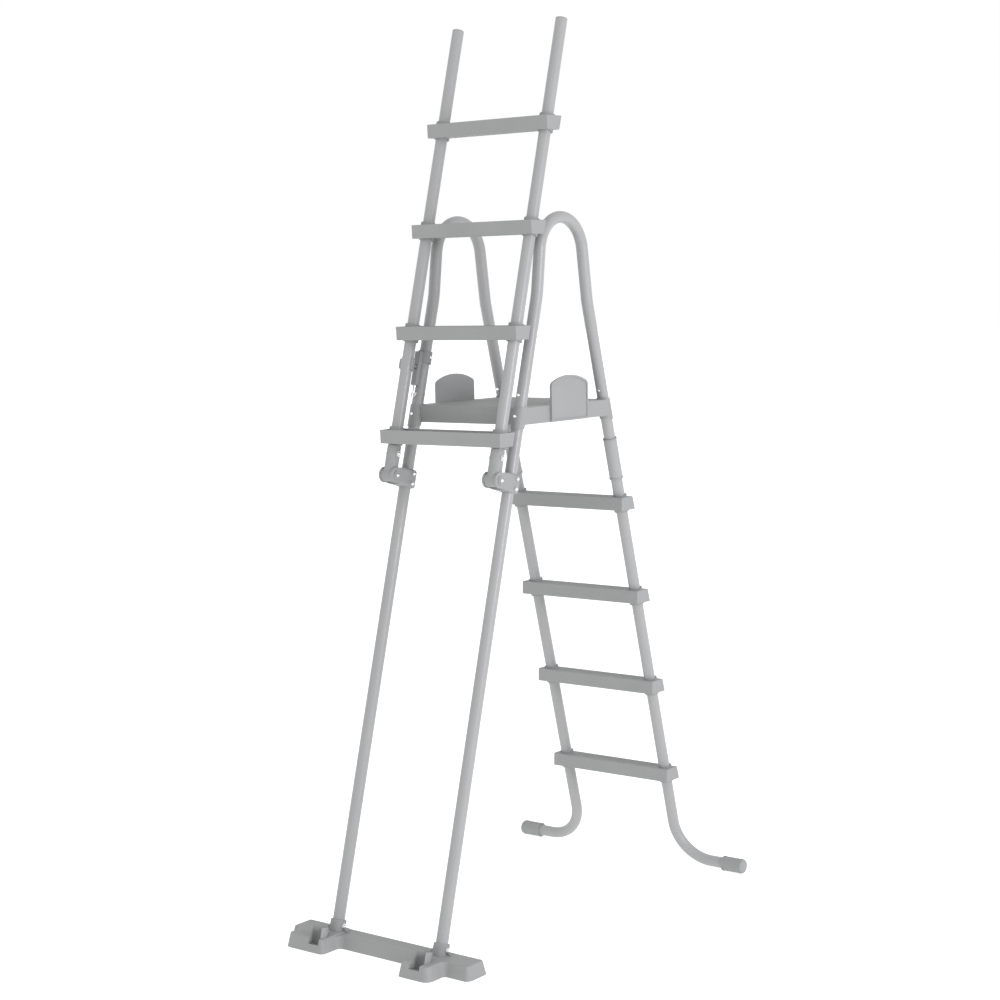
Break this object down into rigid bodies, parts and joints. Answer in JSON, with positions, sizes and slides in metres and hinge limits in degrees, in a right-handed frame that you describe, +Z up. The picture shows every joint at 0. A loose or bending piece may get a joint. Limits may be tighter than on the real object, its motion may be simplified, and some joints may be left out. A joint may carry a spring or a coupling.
{
  "type": "pool ladder",
  "caption": "Free-standing A-frame ladder for an above-ground pool, with a platform, arched handrails and an outer ladder that folds up and latches.",
  "frame": {"origin": "bottom centre of the ladder's bounding box, on the ground", "axes": "+Z up; +Y from the outer ladder towards the pool side; +X to the right as seen by someone about to climb the outer ladder"},
  "size_m": [0.8, 1.255, 2.4261],
  "materials": {
    "tube": "satin powder coat",
    "plastic": "moulded, fine grain",
    "bolt": "bright plated",
    "spring": "spring steel"
  },
  "bodies": {
    "stand": {"base": "plastic", "base_bolts": "bolt", "coupler_left": "plastic", "coupler_right": "plastic", "deck_screws": "bolt", "foot_cap_left": "plastic", "foot_cap_right": "plastic", "guard_screws": "bolt", "handrail_left": "tube", "handrail_right": "tube", "hinge_bracket_left": "plastic", "hinge_bracket_right": "plastic", "hinge_clamp_bolts": "bolt", "hinge_pivot_bolts": "bolt", "inner_leg_left": "tube", "inner_leg_right": "tube", "inner_tread_1": "plastic", "inner_tread_2": "plastic", "inner_tread_3": "plastic", "inner_tread_4": "plastic", "latch_body": "plastic", "latch_clamp_screw": "bolt", "outer_leg_left": "tube", "outer_leg_right": "tube", "platform_deck": "plastic", "rail_stop_screws": "bolt", "side_guard_left": "plastic", "side_guard_right": "plastic", "snap_spring_left": "spring", "snap_spring_right": "spring"},
    "flip_ladder": {"flip_tread_1": "plastic", "flip_tread_2": "plastic", "flip_tread_3": "plastic", "flip_tread_4": "plastic", "flip_tube_left": "tube", "flip_tube_plugs": "plastic", "flip_tube_right": "tube", "hinge_socket_bolts": "bolt", "hinge_socket_left": "plastic", "hinge_socket_right": "plastic", "latch_keeper": "plastic"},
    "latch_bolt": {"latch_bolt": "bolt"},
    "snap_button_left": {"snap_button_left": "bolt"},
    "snap_button_right": {"snap_button_right": "bolt"}
  },
  "joints": [
    {"name": "flip_hinge", "type": "hinge", "parent": "stand", "child": "flip_ladder", "pos_m": [0, -0.25111, 1.21936], "axis": [1, 0, 0], "range_deg": [0, 180]},
    {"name": "latch_pull", "type": "slide", "parent": "stand", "child": "latch_bolt", "axis": [0, -0.2723, -0.9622], "range_m": [0, 0.014], "stiffness_N_per_m": 300, "springref_m": -0.02},
    {"name": "snap_press_left", "type": "slide", "parent": "stand", "child": "snap_button_left", "axis": [-1, 0, 0], "range_m": [0, 0.0035], "stiffness_N_per_m": 1500, "springref_m": -0.003},
    {"name": "snap_press_right", "type": "slide", "parent": "stand", "child": "snap_button_right", "axis": [1, 0, 0], "range_m": [0, 0.0035], "stiffness_N_per_m": 1500, "springref_m": -0.003}
  ]
}
